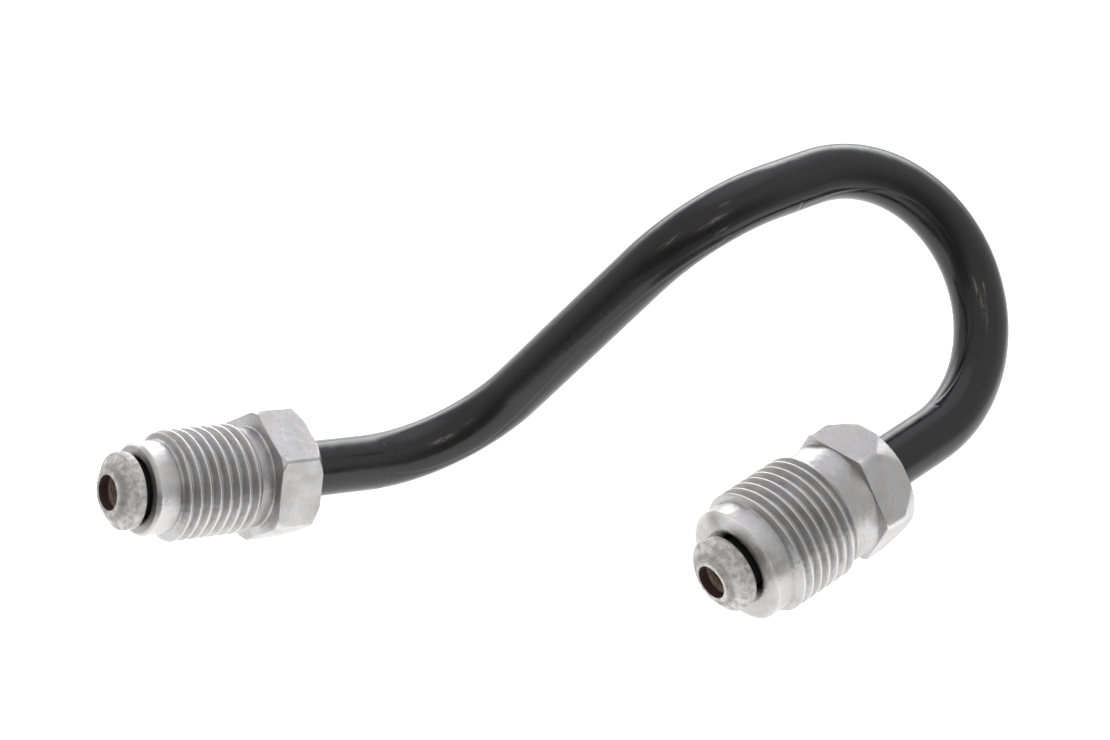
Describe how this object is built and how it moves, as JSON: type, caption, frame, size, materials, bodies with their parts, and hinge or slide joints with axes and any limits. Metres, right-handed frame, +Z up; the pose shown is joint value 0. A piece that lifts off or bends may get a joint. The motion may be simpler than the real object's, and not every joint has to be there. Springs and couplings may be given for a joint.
{
  "type": "brake line",
  "caption": "Short rigid brake line: black coated steel tube bent in three planes, with a bubble flare and a captive male tube nut at each end.",
  "frame": {"origin": "bottom centre of the whole part's box as it lies at rest", "axes": "+Z up, +X along the longest extent with the large loop on the right, +Y away from the viewer of the picture"},
  "size_m": [0.082, 0.0402, 0.0281],
  "materials": {
    "tube_steel": "formed steel, satin, faintly mottled",
    "black_coating": "smooth glossy black with bending marks",
    "nut_zinc": "satin clear zinc plate"
  },
  "bodies": {
    "line": {"steel_tube": "tube_steel", "tube_coating": "black_coating"},
    "small_nut": {"small_tube_nut": "nut_zinc"},
    "large_nut": {"large_tube_nut": "nut_zinc"}
  },
  "joints": [
    {"name": "small_nut_spin", "type": "hinge", "parent": "line", "child": "small_nut", "pos_m": [-0.03274, -0.00815, 0.01011], "axis": [0.7723, 0.5198, -0.3652], "continuous": true},
    {"name": "large_nut_spin", "type": "hinge", "parent": "line", "child": "large_nut", "pos_m": [0.01886, -0.01247, 0.00596], "axis": [0.7481, 0.6636, 0], "continuous": true}
  ]
}
